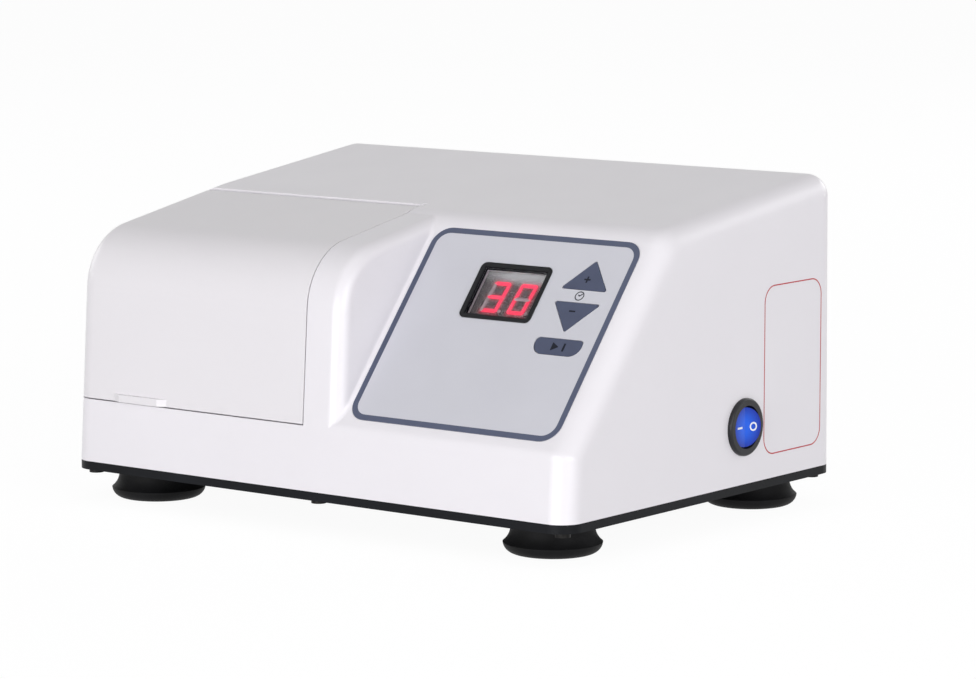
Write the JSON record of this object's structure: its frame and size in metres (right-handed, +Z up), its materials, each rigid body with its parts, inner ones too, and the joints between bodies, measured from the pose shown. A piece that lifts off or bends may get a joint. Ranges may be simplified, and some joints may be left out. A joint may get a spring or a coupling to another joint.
{
  "type": "dental amalgamator",
  "caption": "Bench-top dental amalgamator: a sloped keypad and display beside a hinged lid, under which a motor-driven wobble arm shakes a capsule in a sprung fork.",
  "frame": {"origin": "middle of the bounding box, on the surface that the feet stand on", "axes": "+X to the machine's right as its user faces it (towards the power switch), the front faces -Y, +Z up"},
  "size_m": [0.2558, 0.184, 0.1346],
  "materials": {
    "cover_plastic": "moulded, light grey, semi gloss",
    "lid_plastic": "moulded, light grey, semi gloss",
    "liner_plastic": "moulded, near black",
    "base_paint": "black powder coat",
    "foot_rubber": "moulded rubber",
    "isolator_rubber": "moulded rubber",
    "zinc_steel": "zinc plated",
    "black_steel": "black oxide",
    "bright_steel": "ground",
    "case_steel": "zinc plated and lacquered",
    "cap_alloy": "die cast",
    "brass": "turned",
    "magnet": "sintered ferrite",
    "core_steel": "laminated",
    "fan_plastic": "moulded",
    "arm_alloy": "die cast",
    "washer_plastic": "acetal",
    "film": "printed polyester film",
    "black_plastic": "moulded, black",
    "window": "tinted clear plastic",
    "key_grey": "moulded, blue grey",
    "start_blue": "moulded, blue grey",
    "board_green": "solder resist",
    "component_black": "moulded",
    "switch_black": "moulded, black",
    "rocker_blue": "moulded, blue",
    "socket_black": "moulded, black",
    "copper_tape": "taped winding"
  },
  "bodies": {
    "chassis": {"housing": "cover_plastic", "lid_hinge_pin": "bright_steel", "hinge_washers": "washer_plastic", "chamber_liner": "liner_plastic", "safety_switch": "component_black", "base_plate": "base_paint", "foot_front_left": "foot_rubber", "foot_rear_left": "foot_rubber", "foot_front_right": "foot_rubber", "foot_rear_right": "foot_rubber", "foot_screws": "zinc_steel", "foot_nuts": "zinc_steel", "base_screws": "black_steel", "motor_case": "case_steel", "motor_front_cap": "cap_alloy", "motor_rear_cap": "cap_alloy", "motor_bushes": "brass", "motor_magnets": "magnet", "motor_cradle": "cap_alloy", "motor_straps": "zinc_steel", "motor_isolators": "isolator_rubber", "machine_screws": "zinc_steel", "shaft_seal": "isolator_rubber", "spring_posts": "zinc_steel", "arm_springs": "bright_steel", "keypad_film": "film", "display_bezel": "black_plastic", "display_window": "window", "display_module": "component_black", "control_board": "board_green", "board_components": "component_black", "board_standoffs": "brass", "switch_body": "switch_black", "mains_inlet": "socket_black", "inlet_blades": "brass", "fuse_holder": "socket_black", "fuse_cap": "socket_black", "power_board": "board_green", "power_components": "component_black", "transformer_core": "core_steel", "transformer_winding": "copper_tape"},
    "lid": {"lid": "lid_plastic"},
    "rotor": {"motor_shaft": "bright_steel", "armature": "core_steel", "cooling_fan": "fan_plastic", "counterweight": "bright_steel", "wobble_bush": "bright_steel", "bearing_inner_ring": "bright_steel", "shaft_end_screw": "zinc_steel"},
    "swing_arm": {"swing_arm": "arm_alloy", "capsule_fork": "bright_steel", "fork_rivets": "bright_steel", "bearing_outer_ring": "bright_steel", "bearing_balls": "bright_steel"},
    "power_rocker": {"power_rocker": "rocker_blue"},
    "up_key": {"up_key": "key_grey"},
    "down_key": {"down_key": "key_grey"},
    "start_key": {"start_key": "start_blue"},
    "safety_plunger": {"safety_plunger": "component_black"}
  },
  "joints": [
    {"name": "lid_hinge", "type": "hinge", "parent": "chassis", "child": "lid", "pos_m": [-0.0659, -0.02, 0.11396], "axis": [-1, 0, 0], "range_deg": [0, 92]},
    {"name": "motor_spin", "type": "hinge", "parent": "chassis", "child": "rotor", "pos_m": [-0.04191, -0.03, 0.072], "axis": [0, 1, 0], "continuous": true},
    {"name": "arm_wobble", "type": "hinge", "parent": "rotor", "child": "swing_arm", "pos_m": [-0.04191, -0.052, 0.0728], "axis": [-0.0785, 0.9969, 0], "continuous": true, "deforming": ["arm_springs"]},
    {"name": "rocker_swing", "type": "hinge", "parent": "chassis", "child": "power_rocker", "pos_m": [0.12159, 0.0254, 0.039], "axis": [0, 0, 1], "range_deg": [0, 18]},
    {"name": "up_key_press", "type": "slide", "parent": "chassis", "child": "up_key", "axis": [0, 0.7683, -0.6401], "range_m": [0, 0.00035], "stiffness_N_per_m": 1500},
    {"name": "down_key_press", "type": "slide", "parent": "chassis", "child": "down_key", "axis": [0, 0.7683, -0.6401], "range_m": [0, 0.00035], "stiffness_N_per_m": 1500},
    {"name": "start_key_press", "type": "slide", "parent": "chassis", "child": "start_key", "axis": [0, 0.7683, -0.6401], "range_m": [0, 0.00035], "stiffness_N_per_m": 1500},
    {"name": "plunger_slide", "type": "slide", "parent": "chassis", "child": "safety_plunger", "axis": [0, -1, 0], "range_m": [0, 0.0009]}
  ],
  "couplings": [
    {"joint": "arm_wobble", "follows": "motor_spin", "ratio": -1},
    {"joint": "plunger_slide", "follows": "lid_hinge", "m_per_rad": 0.0005}
  ]
}
